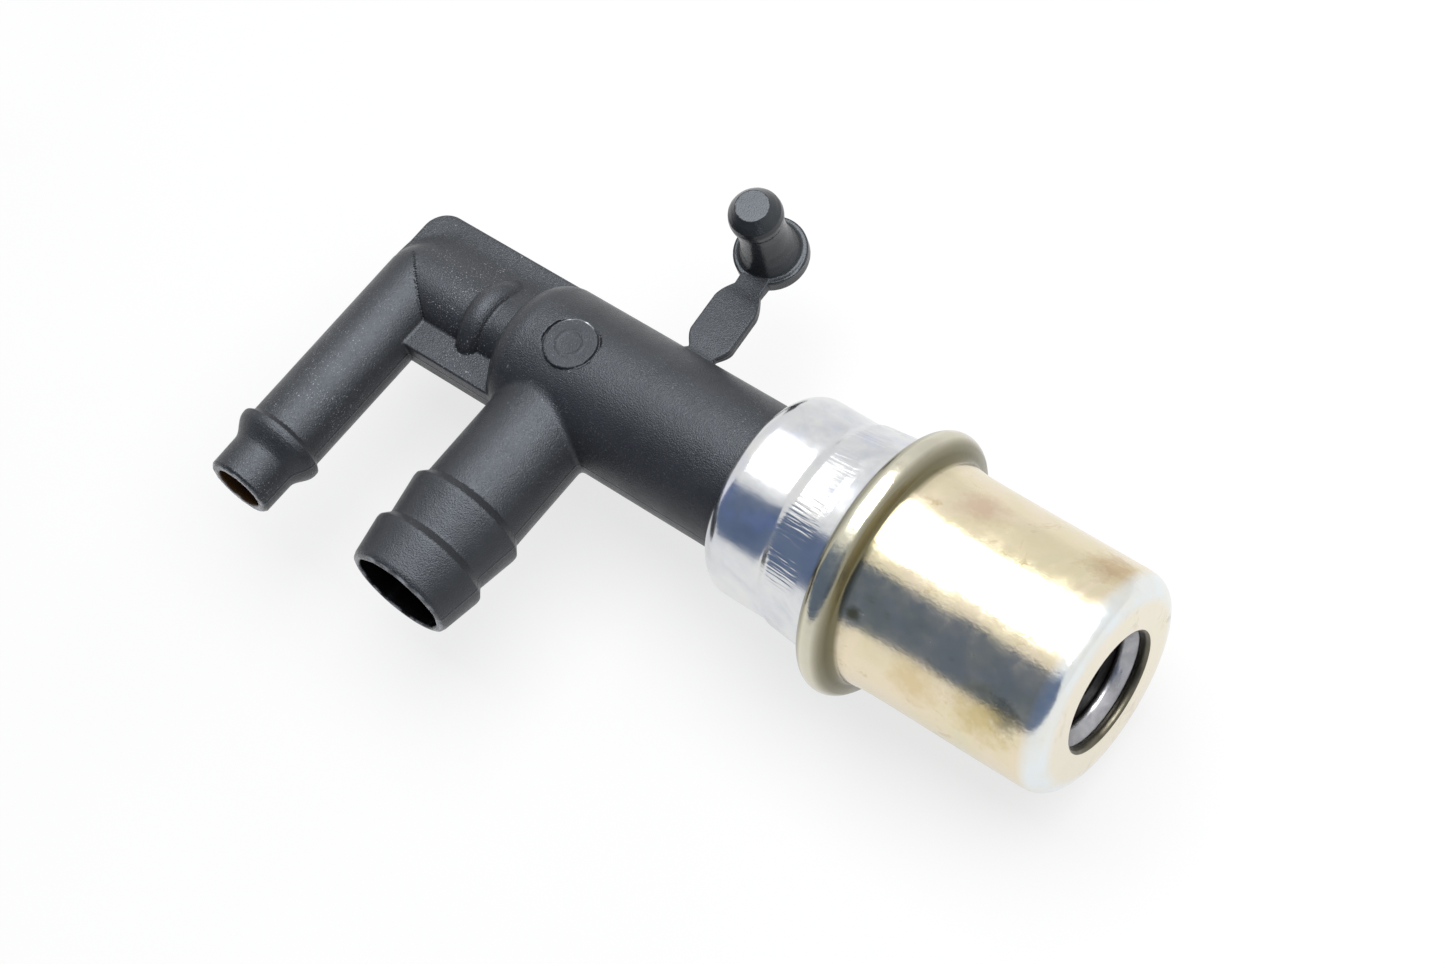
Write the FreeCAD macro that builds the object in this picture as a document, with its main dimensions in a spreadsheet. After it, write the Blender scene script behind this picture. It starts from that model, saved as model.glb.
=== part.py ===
import FreeCAD, Part
import math
import os
import Sketcher
from FreeCAD import Placement, Rotation, Vector

# Crankcase ventilation valve with two hose nipples and a tethered sealing plug.
# Millimetres. +X runs along the valve towards its open inlet end, both nipples
# point to -Y, the tether leaves towards +Y and the plug stands up along +Z.
# The origin is on the main axis, at the front face of the steel can's flange.

doc = FreeCAD.newDocument("ventilation_valve")

DIMS = {
    # steel can
    "can_end_x": 20.1, "can_radius": 10.06, "can_wall": 0.8, "can_edge_round": 2.0,
    "inlet_hole_radius": 5.38,
    "flange_radius": 12.22, "flange_thick": 2.6, "flange_round": 1.2,
    "hem_rear_x": -1.8, "hem_front_x": -0.9, "hem_mouth_radius": 10.45,
    "hem_floor_radius": 11.35,
    # crimp sleeve
    "sleeve_rear_x": -14.8, "sleeve_radius": 9.38, "sleeve_wall": 0.8, "sleeve_round": 2.0,
    "sleeve_inner_round": 1.2, "sleeve_hole_radius": 7.05,
    "cone_start_x": -7.5, "cone_start_radius": 9.64, "cone_step": 0.5,
    "cone_mid_x": -4.9, "cone_mid_radius": 9.9, "cone_end_x": -2.9, "cone_end_radius": 10.2,
    "lip_rear_x": -1.7, "lip_front_x": -0.95, "lip_radius": 11.2, "lip_root_rise": 0.1,
    "pocket_rear_x": -2.2, "pocket_radius": 9.6, "cone_inner_x": -3.0,
    "cone_inner_radius": 9.45,
    # moulded barrel
    "barrel_end_x": -41.8, "barrel_radius": 6.88, "barrel_round": 2.8,
    "collar_radius": 8.5, "collar_rear_x": -13.95, "collar_round": 1.3, "body_front_x": -3.3,
    "chamber_radius": 5.2, "chamber_end_x": -39.2, "passage_end_x": -38.7,
    "gate_x": -34.5, "gate_y": -0.35, "gate_radius": 2.5, "gate_top_z": 6.86,
    "gate_depth": 1.2,
    # large nipple; stations are distances back from its mouth
    "large_axis_x": -35.07, "large_radius": 5.0, "large_mouth_y": -25.25,
    "large_root_y": -7.4, "large_barb_radius": 5.6, "large_bore_radius": 4.0,
    "large_step_one": 9.9, "large_peak_one": 8.9, "large_step_two": 5.1,
    "large_peak_two": 4.0, "large_nose": 0.5, "large_nose_drop": 0.35, "mouth_round": 0.3,
    # small nipple; stations are distances back from its mouth
    "small_axis_x": -54.19, "small_radius": 3.67, "small_mouth_y": -25.2,
    "small_barb_radius": 4.22, "small_bore_radius": 2.2, "small_bore_end_y": 0.6,
    "small_step": 6.1, "small_peak": 5.5, "flare_one": 4.7, "flare_one_drop": 0.3,
    "flare_two": 4.0, "flare_two_drop": 0.7, "flare_three": 3.3, "flare_three_drop": 0.95,
    "small_nose_radius": 3.19,
    # elbow arm
    "bead_x": -45.5, "bead_ring_radius": 3.3, "bead_section_radius": 1.15,
    "web_half_thick": 1.4, "web_outer_y": 6.82, "web_inner_y": -6.3, "web_left_x": -57.86,
    "web_end_x": -38.7, "web_corner_round": 2.3,
    # tether strap
    "root_hinge_y": 7.75, "plug_hinge_y": 15.2, "strap_centre_x": -28.4,
    "strap_half_thick": 0.6, "hinge_round": 0.55, "strap_corner_round": 0.5,
    "strap_dip": 3.0,
    # sealing plug
    "plug_x": -29.31, "plug_y": 19.43, "disc_radius": 3.4, "disc_top": 0.49,
    "disc_bottom": -0.96, "disc_round": 0.25, "stem_foot_radius": 2.8,
    "stem_neck_radius": 2.2, "stem_neck_height": 2.89, "stem_waist_radius": 2.05,
    "stem_waist_height": 5.9, "bulge_radius": 2.43, "bulge_low": 6.8, "bulge_high": 7.7,
    "plug_height": 9.0, "plug_face_radius": 1.6,
    # inner parts
    "gasket_inner": 6.6, "gasket_outer": 8.9, "gasket_front_x": -1.95, "gasket_round": 0.3,
    "plate_radius": 9.5, "plate_front_x": -0.9, "orifice_radius": 2.75, "throat_radius": 4.2,
    "throat_end_x": -4.4, "throat_chamfer": 0.6,
    "seat_rear_x": 17.85, "seat_bore": 4.45, "seat_mouth": 5.45, "seat_front_x": 19.25,
    "seat_radius": 9.0, "seat_rim": 0.4, "seat_front_radius": 8.0, "seat_cone_x": 18.3,
    "head_front_x": 17.8, "head_thick": 1.0, "head_radius": 7.6, "hub_radius": 3.0,
    "hub_length": 3.0, "head_round": 0.2, "socket_radius": 2.2, "socket_floor_radius": 1.8,
    "socket_depth": 2.6, "socket_point": 3.4,
    "stem_radius": 2.4, "taper_start_x": 4.0, "tip_x": -6.5, "tip_radius": 1.5,
    "tip_chamfer": 0.5,
    "spring_radius": 4.0, "spring_wire": 0.35, "spring_turns": 7.0,
    "spring_rear_x": -0.5, "spring_front_x": 16.4,
}

sheet = doc.addObject("Spreadsheet::Sheet", "dims")
for row, (alias, value) in enumerate(DIMS.items(), start=1):
    sheet.set(f"A{row}", alias)
    sheet.set(f"B{row}", str(value))
    sheet.setAlias(f"B{row}", alias)
doc.recompute()


def words_of(expression):
    return expression.replace("-", " - ").replace("+", " + ").split()


def number(expression):
    """Value of a number, or of a sum and difference of spreadsheet aliases and numbers."""
    if not isinstance(expression, str):
        return float(expression)
    total, sign = 0.0, 1.0
    for word in words_of(expression):
        if word in "+-":
            sign = -1.0 if word == "-" else 1.0
        else:
            total += sign * (DIMS[word] if word in DIMS else float(word))
    return total


def bound(expression):
    """The same expression written for FreeCAD, with each alias on the sheet."""
    return " ".join("dims." + word if word in DIMS else word for word in words_of(expression))


def new_body(name):
    body = doc.addObject("PartDesign::Body", name)
    body.Label = name
    return body


def origin_plane(body, role):
    return next(item for item in body.Origin.OriginFeatures if item.Role == role)


def place_sketch(body, name, role="XY_Plane", offset=None):
    sketch = body.newObject("Sketcher::SketchObject", name)
    sketch.AttachmentSupport = [(origin_plane(body, role), "")]
    sketch.MapMode = "FlatFace"
    for axis, expression in (offset or {}).items():
        sketch.setExpression(f"AttachmentOffset.Base.{axis}", bound(expression))
    return sketch


def outline(sketch, corners):
    """Closed polygon; every corner is dimensioned from the sketch origin."""
    points = [Vector(number(x), number(y), 0) for x, y in corners]
    count = len(points)
    for index in range(count):
        sketch.addGeometry(Part.LineSegment(points[index], points[(index + 1) % count]), False)
    for index in range(count):
        sketch.addConstraint(Sketcher.Constraint("Coincident", index, 2, (index + 1) % count, 1))
    for index, (x, y) in enumerate(corners):
        for kind, expression, value in (("DistanceX", x, points[index].x),
                                        ("DistanceY", y, points[index].y)):
            if abs(value) < 1e-9:
                target = -2 if kind == "DistanceX" else -1
                sketch.addConstraint(Sketcher.Constraint("PointOnObject", index, 1, target))
                continue
            name = f"{kind[-1].lower()}{index}"
            sketch.addConstraint(Sketcher.Constraint(kind, -1, 1, index, 1, value))
            number_of = sketch.ConstraintCount - 1
            sketch.renameConstraint(number_of, name)
            if isinstance(expression, str):
                sketch.setExpression(f"Constraints.{name}", bound(expression))


def circle(sketch, x, y, radius):
    sketch.addGeometry(Part.Circle(Vector(number(x), number(y), 0), Vector(0, 0, 1),
                                   number(radius)), False)
    for kind, expression in (("DistanceX", x), ("DistanceY", y)):
        value = number(expression)
        if abs(value) < 1e-9:
            target = -2 if kind == "DistanceX" else -1
            sketch.addConstraint(Sketcher.Constraint("PointOnObject", 0, 3, target))
            continue
        sketch.addConstraint(Sketcher.Constraint(kind, -1, 1, 0, 3, value))
        name = kind[-1].lower() + "c"
        sketch.renameConstraint(sketch.ConstraintCount - 1, name)
        if isinstance(expression, str):
            sketch.setExpression(f"Constraints.{name}", bound(expression))
    sketch.addConstraint(Sketcher.Constraint("Radius", 0, number(radius)))
    sketch.renameConstraint(sketch.ConstraintCount - 1, "radius")
    if isinstance(radius, str):
        sketch.setExpression("Constraints.radius", bound(radius))


def turned(body, name, corners, about="H_Axis", offset=None, cut=False):
    """Revolve a closed outline about its sketch's own axis, or cut with it."""
    sketch = place_sketch(body, name + "_outline", offset=offset)
    outline(sketch, corners)
    feature = body.newObject("PartDesign::Groove" if cut else "PartDesign::Revolution", name)
    feature.Profile = sketch
    feature.ReferenceAxis = (sketch, [about])
    feature.Angle = 360.0
    sketch.Visibility = False
    doc.recompute()
    return feature


def padded(body, name, sketch, length, both_ways=True):
    feature = body.newObject("PartDesign::Pad", name)
    feature.Profile = sketch
    feature.setExpression("Length", length)
    feature.Midplane = both_ways
    sketch.Visibility = False
    doc.recompute()
    return feature


def round_edges(body, name, wanted, radius, chamfer=False):
    """Fillet or chamfer the edges that `wanted` accepts."""
    base = body.Tip
    names = [f"Edge{i}" for i, edge in enumerate(base.Shape.Edges, start=1) if wanted(edge)]
    if not names:
        raise RuntimeError(f"{body.Label}: no edge for {name}")
    kind = "PartDesign::Chamfer" if chamfer else "PartDesign::Fillet"
    feature = body.newObject(kind, name)
    feature.Base = (base, names)
    feature.setExpression("Size" if chamfer else "Radius", bound(radius))
    doc.recompute()
    return feature


def circle_of(edge):
    """The edge's circle, or None for any other kind of curve."""
    try:
        return edge.Curve if isinstance(edge.Curve, Part.Circle) else None
    except TypeError:
        return None


def ring_edge(axis, at, radius, centre=(0.0, 0.0)):
    """Test for a full circle about a line along `axis`, at a station, of a radius."""
    def test(edge):
        curve = circle_of(edge)
        if curve is None or abs(curve.Radius - radius) > 0.02:
            return False
        middle = curve.Center
        along = getattr(middle, axis)
        across = [getattr(middle, name) for name in "xyz" if name != axis]
        return abs(along - at) < 0.02 and math.dist(across, centre) < 0.05
    return test


# ---------------------------------------------------------------- moulded body
# The barrel, elbow arm and two nipples are one moulding, held as four pieces that meet on
# flat faces.
def web_part(body, corners):
    """Flat web in the mould's parting plane."""
    sketch = place_sketch(body, "web_outline")
    outline(sketch, corners)
    padded(body, "web", sketch, "2 * dims.web_half_thick")


barrel = new_body("valve_body")
turned(barrel, "barrel", [
    ("barrel_end_x", 0), ("barrel_end_x", "barrel_radius"),
    ("collar_rear_x", "barrel_radius"), ("collar_rear_x", "collar_radius"),
    ("body_front_x", "collar_radius"), ("body_front_x", 0)])
round_edges(barrel, "barrel_end_round",
            ring_edge("x", DIMS["barrel_end_x"], DIMS["barrel_radius"]), "barrel_round")
round_edges(barrel, "collar_edge_round",
            ring_edge("x", DIMS["collar_rear_x"], DIMS["collar_radius"]), "collar_round")
turned(barrel, "large_root", [
    (0, 0), ("large_radius", 0), ("large_radius", "large_root_y"), (0, "large_root_y")],
    about="V_Axis", offset={"x": "large_axis_x"})
web_part(barrel, [
    ("barrel_end_x", "web_inner_y"), ("barrel_end_x", "web_outer_y"),
    ("web_end_x", "web_outer_y"), ("web_end_x", "web_inner_y")])

# flat round gate mark on top of the barrel
gate_sketch = place_sketch(barrel, "gate_outline", offset={"z": "gate_top_z"})
circle(gate_sketch, "gate_x", "gate_y", "gate_radius")
gate = padded(barrel, "gate_mark", gate_sketch, "dims.gate_depth", both_ways=False)
gate.Reversed = True
doc.recompute()

# passages of the barrel
turned(barrel, "chamber", [
    ("chamber_end_x", 0), ("chamber_end_x", "chamber_radius"),
    ("body_front_x", "chamber_radius"), ("body_front_x", 0)], cut=True)
turned(barrel, "cross_passage", [
    ("barrel_end_x", 0), ("barrel_end_x", "small_bore_radius"),
    ("passage_end_x", "small_bore_radius"), ("passage_end_x", 0)], cut=True)
turned(barrel, "large_passage", [
    (0, 0), ("large_bore_radius", 0), ("large_bore_radius", "large_root_y"),
    (0, "large_root_y")], about="V_Axis", offset={"x": "large_axis_x"}, cut=True)

# elbow arm: cross pipe from the barrel's end, bead, ball elbow and web
arm = new_body("elbow_arm")
turned(arm, "cross_pipe", [
    ("small_axis_x", 0), ("small_axis_x", "small_radius"),
    ("barrel_end_x", "small_radius"), ("barrel_end_x", 0)])
elbow = arm.newObject("PartDesign::AdditiveSphere", "ball_elbow")
elbow.AttachmentSupport = [(origin_plane(arm, "XY_Plane"), "")]
elbow.MapMode = "FlatFace"
elbow.setExpression("AttachmentOffset.Base.x", "dims.small_axis_x")
elbow.setExpression("Radius", "dims.small_radius")
doc.recompute()
turned(arm, "small_root", [
    (0, 0), ("small_radius", 0), ("small_radius", "web_inner_y"), (0, "web_inner_y")],
    about="V_Axis", offset={"x": "small_axis_x"})
web_part(arm, [
    ("web_left_x", 0), ("web_left_x", "web_outer_y"), ("barrel_end_x", "web_outer_y"),
    ("barrel_end_x", "web_inner_y"), ("small_axis_x", "web_inner_y"), ("small_axis_x", 0)])
round_edges(arm, "web_corner",
            lambda edge: (edge.BoundBox.ZLength > DIMS["web_half_thick"]
                          and edge.BoundBox.XLength < 0.01
                          and abs(edge.CenterOfMass.x - DIMS["web_left_x"]) < 0.05
                          and abs(edge.CenterOfMass.y - DIMS["web_outer_y"]) < 0.05),
            "web_corner_round")
bead = arm.newObject("PartDesign::AdditiveTorus", "bead")
bead.AttachmentSupport = [(origin_plane(arm, "YZ_Plane"), "")]
bead.MapMode = "FlatFace"
bead.setExpression("AttachmentOffset.Base.z", "dims.bead_x")
bead.setExpression("Radius1", "dims.bead_ring_radius")
bead.setExpression("Radius2", "dims.bead_section_radius")
doc.recompute()
turned(arm, "cross_bore", [
    ("small_axis_x", 0), ("small_axis_x", "small_bore_radius"),
    ("barrel_end_x", "small_bore_radius"), ("barrel_end_x", 0)], cut=True)
turned(arm, "elbow_bore", [
    (0, "small_bore_end_y"), ("small_bore_radius", "small_bore_end_y"),
    ("small_bore_radius", "web_inner_y"), (0, "web_inner_y")],
    about="V_Axis", offset={"x": "small_axis_x"}, cut=True)

# large nipple: two barbs, then the rounded mouth
large = new_body("large_nipple")
turned(large, "large_pipe", [
    ("large_bore_radius", "large_root_y"), ("large_radius", "large_root_y"),
    ("large_radius", "large_mouth_y + large_step_one"),
    ("large_barb_radius", "large_mouth_y + large_peak_one"),
    ("large_radius", "large_mouth_y + large_step_two"),
    ("large_barb_radius", "large_mouth_y + large_peak_two"),
    ("large_radius", "large_mouth_y + large_nose"),
    ("large_radius - large_nose_drop", "large_mouth_y"),
    ("large_bore_radius", "large_mouth_y")],
    about="V_Axis", offset={"x": "large_axis_x"})
round_edges(large, "large_mouth_round",
            ring_edge("y", DIMS["large_mouth_y"], DIMS["large_bore_radius"],
                      (DIMS["large_axis_x"], 0.0)), "mouth_round")

# small nipple: one barb with a hollow flare, then a plain nose
small = new_body("small_nipple")
turned(small, "small_pipe", [
    ("small_bore_radius", "web_inner_y"), ("small_radius", "web_inner_y"),
    ("small_radius", "small_mouth_y + small_step"),
    ("small_barb_radius", "small_mouth_y + small_peak"),
    ("small_barb_radius - flare_one_drop", "small_mouth_y + flare_one"),
    ("small_barb_radius - flare_two_drop", "small_mouth_y + flare_two"),
    ("small_barb_radius - flare_three_drop", "small_mouth_y + flare_three"),
    ("small_nose_radius", "small_mouth_y"), ("small_bore_radius", "small_mouth_y")],
    about="V_Axis", offset={"x": "small_axis_x"})
round_edges(small, "small_mouth_round",
            ring_edge("y", DIMS["small_mouth_y"], DIMS["small_bore_radius"],
                      (DIMS["small_axis_x"], 0.0)), "mouth_round")

# ---------------------------------------------------------------- tether strap
strap = new_body("tether_strap")
strap_sketch = place_sketch(strap, "strap_outline")
# The outline, from the strap's centre line and the root hinge. It runs a little past both
# hinges, and leans towards -X as it goes outwards.
left = [(-1.2, -0.4), (-1.2, 0.1), (-1.95, 0.55), (-2.25, 1.6), (-2.25, 5.3), (-1.75, 6.3),
        (-1.3, 7.3), (-1.3, 7.8)]
right = [(1.3, 7.8), (1.3, 7.3), (2.05, 6.0), (2.25, 5.0), (2.3, 1.9), (1.85, 0.9),
         (1.2, 0.1), (1.2, -0.4)]
lean = 0.115
root_shift = 0.55
corners = [(x - lean * y + root_shift, y) for x, y in left + right]
outline(strap_sketch, [(f"strap_centre_x {'-' if x < 0 else '+'} {abs(x):.3f}",
                        f"root_hinge_y {'-' if y < 0 else '+'} {abs(y):.3f}")
                       for x, y in corners])
padded(strap, "strap_plate", strap_sketch, "2 * dims.strap_half_thick")
hinge_margin = 0.3
round_edges(strap, "strap_corners",
            lambda edge: (edge.BoundBox.ZLength > DIMS["strap_half_thick"]
                          and edge.BoundBox.YLength < 0.01
                          and DIMS["root_hinge_y"] + hinge_margin < edge.CenterOfMass.y
                          < DIMS["plug_hinge_y"] - hinge_margin), "strap_corner_round")
round_edges(strap, "hinge_ends",
            lambda edge: (edge.BoundBox.XLength > DIMS["strap_half_thick"]
                          and edge.BoundBox.YLength < 0.01
                          and edge.BoundBox.ZLength < 0.01), "hinge_round")
strap.setExpression("Placement.Rotation.Angle", "dims.strap_dip")
strap.Placement = Placement(Vector(0, 0, 0), Rotation(Vector(-1, 0, 0), DIMS["strap_dip"]),
                            Vector(0, DIMS["root_hinge_y"], 0))

# ---------------------------------------------------------------- sealing plug
plug = new_body("sealing_plug")
turned(plug, "plug_profile", [
    (0, "disc_bottom"), ("disc_radius", "disc_bottom"), ("disc_radius", "disc_top"),
    ("stem_foot_radius", "disc_top"), ("stem_neck_radius", "stem_neck_height"),
    ("stem_waist_radius", "stem_waist_height"), ("bulge_radius", "bulge_low"),
    ("bulge_radius", "bulge_high"), ("plug_face_radius", "plug_height"),
    (0, "plug_height")], about="V_Axis")
plug_tilt = Rotation(Vector(0, 0, 1), Vector(0.07, -0.14, 1.0))
plug.Placement = Placement(Vector(DIMS["plug_x"], DIMS["plug_y"], 0),
                           plug_tilt * Rotation(Vector(1, 0, 0), 90))
plug.setExpression("Placement.Base.x", "dims.plug_x")
plug.setExpression("Placement.Base.y", "dims.plug_y")
round_edges(plug, "disc_edges",
            lambda edge: (circle_of(edge) is not None
                          and abs(edge.Curve.Radius - DIMS["disc_radius"]) < 0.02), "disc_round")

# ---------------------------------------------------------------- crimp sleeve
sleeve = new_body("crimp_sleeve")
turned(sleeve, "sleeve_profile", [
    ("sleeve_rear_x", "sleeve_hole_radius"), ("sleeve_rear_x", "sleeve_radius"),
    ("cone_start_x - cone_step", "sleeve_radius"), ("cone_start_x", "cone_start_radius"),
    ("cone_mid_x", "cone_mid_radius"), ("cone_end_x", "cone_end_radius"),
    ("lip_rear_x", "cone_end_radius + lip_root_rise"), ("lip_rear_x", "lip_radius"),
    ("lip_front_x", "lip_radius"), ("lip_front_x", "pocket_radius"),
    ("pocket_rear_x", "pocket_radius"), ("cone_inner_x", "cone_inner_radius"),
    ("cone_mid_x", "cone_mid_radius - sleeve_wall"),
    ("cone_start_x", "cone_start_radius - sleeve_wall"),
    ("cone_start_x - cone_step", "sleeve_radius - sleeve_wall"),
    ("sleeve_rear_x + sleeve_wall", "sleeve_radius - sleeve_wall"),
    ("sleeve_rear_x + sleeve_wall", "sleeve_hole_radius")])
round_edges(sleeve, "shoulder_round",
            ring_edge("x", DIMS["sleeve_rear_x"], DIMS["sleeve_radius"]), "sleeve_round")
round_edges(sleeve, "shoulder_inner_round",
            ring_edge("x", DIMS["sleeve_rear_x"] + DIMS["sleeve_wall"],
                      DIMS["sleeve_radius"] - DIMS["sleeve_wall"]), "sleeve_inner_round")

# ---------------------------------------------------------------- steel can
can = new_body("inlet_can")
turned(can, "can_profile", [
    ("can_end_x", "inlet_hole_radius"), ("can_end_x", "can_radius"), (0, "can_radius"),
    (0, "flange_radius"), ("0 - flange_thick", "flange_radius"),
    ("0 - flange_thick", "hem_mouth_radius"), ("hem_rear_x", "hem_mouth_radius"),
    ("hem_rear_x", "hem_floor_radius"), ("hem_front_x", "hem_floor_radius"),
    ("hem_front_x", "can_radius - can_wall"),
    ("can_end_x - can_wall", "can_radius - can_wall"),
    ("can_end_x - can_wall", "inlet_hole_radius")])
round_edges(can, "flange_edge_round",
            lambda edge: (ring_edge("x", 0.0, DIMS["flange_radius"])(edge)
                          or ring_edge("x", -DIMS["flange_thick"], DIMS["flange_radius"])(edge)),
            "flange_round")
round_edges(can, "can_end_round",
            ring_edge("x", DIMS["can_end_x"], DIMS["can_radius"]), "can_edge_round")
round_edges(can, "can_end_inner_round",
            ring_edge("x", DIMS["can_end_x"] - DIMS["can_wall"],
                      DIMS["can_radius"] - DIMS["can_wall"]), "can_edge_round - can_wall")

# ---------------------------------------------------------------- inner parts
gasket = new_body("body_gasket")
turned(gasket, "gasket_ring", [
    ("body_front_x", "gasket_inner"), ("body_front_x", "gasket_outer"),
    ("gasket_front_x", "gasket_outer"), ("gasket_front_x", "gasket_inner")])
round_edges(gasket, "gasket_edges",
            lambda edge: circle_of(edge) is not None, "gasket_round")

plate = new_body("metering_plate")
turned(plate, "plate_profile", [
    ("plate_front_x", "orifice_radius"), ("plate_front_x", "plate_radius"),
    ("gasket_front_x", "plate_radius"), ("gasket_front_x", "throat_radius"),
    ("throat_end_x", "throat_radius"), ("throat_end_x", "orifice_radius")])
round_edges(plate, "throat_lead_in",
            ring_edge("x", DIMS["throat_end_x"], DIMS["orifice_radius"]), "throat_chamfer",
            chamfer=True)

seat = new_body("inlet_seat_ring")
turned(seat, "seat_profile", [
    ("seat_rear_x", "seat_bore"), ("seat_rear_x", "seat_radius"),
    ("seat_rear_x + seat_rim", "seat_radius"), ("seat_front_x", "seat_front_radius"),
    ("seat_front_x", "seat_mouth"), ("seat_cone_x", "seat_bore")])

pintle = new_body("metering_pintle")
turned(pintle, "pintle_profile", [
    ("tip_x", 0), ("tip_x", "tip_radius - tip_chamfer"), ("tip_x + tip_chamfer", "tip_radius"),
    ("taper_start_x", "stem_radius"), ("head_front_x - hub_length", "stem_radius"),
    ("head_front_x - hub_length", "hub_radius"), ("head_front_x - head_thick", "hub_radius"),
    ("head_front_x - head_thick", "head_radius"), ("head_front_x", "head_radius"),
    ("head_front_x", "socket_radius"), ("head_front_x - socket_depth", "socket_floor_radius"),
    ("head_front_x - socket_point", 0)])
round_edges(pintle, "head_edges",
            lambda edge: (circle_of(edge) is not None
                          and abs(edge.Curve.Radius - DIMS["head_radius"]) < 0.02), "head_round")

spring = new_body("return_spring")
wire_sketch = place_sketch(spring, "wire_section")
circle(wire_sketch, "spring_rear_x", "spring_radius", "spring_wire")
coil = spring.newObject("PartDesign::AdditiveHelix", "coil")
coil.Profile = wire_sketch
coil.ReferenceAxis = (wire_sketch, ["H_Axis"])
coil.Mode = 2
coil.setExpression("Height", "dims.spring_front_x - dims.spring_rear_x")
coil.setExpression("Turns", "dims.spring_turns")
coil.Reversed = False
wire_sketch.Visibility = False

doc.recompute()

# ---------------------------------------------------------------- checks and files
SUB_PARTS = [barrel, arm, large, small, strap, plug, sleeve, can, gasket, plate, seat, pintle,
             spring]
for item in doc.Objects:
    if "Invalid" in item.State or "Error" in item.State:
        raise RuntimeError(f"{item.Label} is {item.State}")
os.makedirs("parts", exist_ok=True)
for part in SUB_PARTS:
    shape = part.Shape
    if shape.isNull() or not shape.isValid() or len(shape.Solids) != 1:
        raise RuntimeError(f"{part.Label} has no single valid solid")
    shape.exportStep(f"parts/{part.Label}.step")
    box = shape.BoundBox
    print(part.Label, round(shape.Volume, 1),
          [round(v, 2) for v in (box.XMin, box.YMin, box.ZMin, box.XMax, box.YMax, box.ZMax)])
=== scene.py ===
import math

import bpy
import numpy as np
from mathutils import Matrix, Vector


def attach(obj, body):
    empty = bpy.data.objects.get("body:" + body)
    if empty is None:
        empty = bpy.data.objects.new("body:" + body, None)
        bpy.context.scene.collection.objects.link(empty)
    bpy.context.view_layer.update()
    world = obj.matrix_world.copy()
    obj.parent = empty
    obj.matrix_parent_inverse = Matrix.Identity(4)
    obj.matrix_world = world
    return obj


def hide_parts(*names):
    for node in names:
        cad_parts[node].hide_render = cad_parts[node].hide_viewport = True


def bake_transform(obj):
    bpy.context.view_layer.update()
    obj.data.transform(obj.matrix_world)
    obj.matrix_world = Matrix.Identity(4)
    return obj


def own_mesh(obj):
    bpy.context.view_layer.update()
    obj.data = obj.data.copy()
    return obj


# Looks for the crankcase ventilation valve, in the row frame: X towards the inlet, nipples
# towards -Y, plug up along Z. Sizes and places are in millimetres and are turned into metres
# where they reach Blender. Scales of noise are per metre.

MM = 0.001
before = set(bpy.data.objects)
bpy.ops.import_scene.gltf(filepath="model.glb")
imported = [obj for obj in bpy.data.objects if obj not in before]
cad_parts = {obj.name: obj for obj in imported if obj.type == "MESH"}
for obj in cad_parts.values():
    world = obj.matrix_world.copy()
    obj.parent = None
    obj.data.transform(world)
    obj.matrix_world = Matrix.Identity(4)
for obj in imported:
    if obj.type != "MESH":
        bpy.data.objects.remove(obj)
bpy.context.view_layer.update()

# On the main axis. Names with _R are radii. Those with _REAR, _FRONT or _END are stations along
# X, and so are CRIMP_BAND and CREVICE.
BARREL_END, BARREL_FRONT, BARREL_R, BARREL_ROUND = -41.8, -10.0, 6.88, 2.8
COLLAR_REAR, COLLAR_FRONT, COLLAR_R, COLLAR_ROUND = -13.8, -3.3, 8.4, 1.3
CHAMBER_END, CHAMBER_R = -39.2, 5.2
SLEEVE_REAR, SLEEVE_R, CRIMP_BAND, CREVICE = -14.8, 9.38, -6.2, -2.4
FLANGE_R, FLANGE_THICK = 12.22, 2.6
CAN_END, CAN_R, CAN_WALL, HOLE_R = 20.1, 10.06, 0.8, 5.38
# The two nipples, each about its own line parallel to Y. Their mouths are stations along Y.
LARGE_X, LARGE_R, LARGE_BARB, LARGE_MOUTH, LARGE_BORE = -35.07, 5.0, 0.6, -25.25, 4.2
SMALL_X, SMALL_R, SMALL_CREST, SMALL_MOUTH, SMALL_BORE = -54.19, 3.67, 4.2, -25.2, 2.2
# The thin pipe's front end inside the barrel, and the bead round it.
CROSS_FRONT, BEAD_X, BEAD_RING, BEAD_TUBE = -39.8, -45.5, 3.2, 1.3
GATE = Vector((-34.5, -0.35, 6.86))
GATE_R, GROOVE_R = 2.42, 2.54
# The tether: both hinge lines run along X.
ROOT_HINGE = Vector((-28.4, 7.75, 0.0))
PLUG_HINGE = Vector((-29.2, 15.2, -0.39))
STRAP_DROOP = math.radians(3.0)
PLUG_BASE = Vector((-29.31, 19.43, 0.0))
PLUG_AXIS = Vector((0.07, -0.14, 1.0)).normalized()
PLUG_DISC_R = 3.4


# ------------------------------------------------------------------ distance fields
def join(a, b, blend):
    """Union of two solids with a fillet of about the size `blend`."""
    mix = np.clip(0.5 + 0.5 * (b - a) / blend, 0.0, 1.0)
    return b + (a - b) * mix - blend * mix * (1.0 - mix)


def cut(a, b, blend):
    """Solid a with b taken out, its new edge rounded."""
    return -join(-a, b, blend)


def between(value, low, high):
    """Distance to the stretch from `low` to `high`, negative inside it."""
    return np.abs(value - (low + high) / 2) - (high - low) / 2


def eased(t):
    """Smooth rise from 0 to 1."""
    return t * t * (3 - 2 * t)


def rounded_meet(first, second, radius):
    """Intersection of two half-spaces or shells with their shared edge rounded."""
    a, b = first + radius, second + radius
    outside = np.hypot(np.maximum(a, 0.0), np.maximum(b, 0.0))
    return np.minimum(np.maximum(a, b), 0.0) + outside - radius


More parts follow.
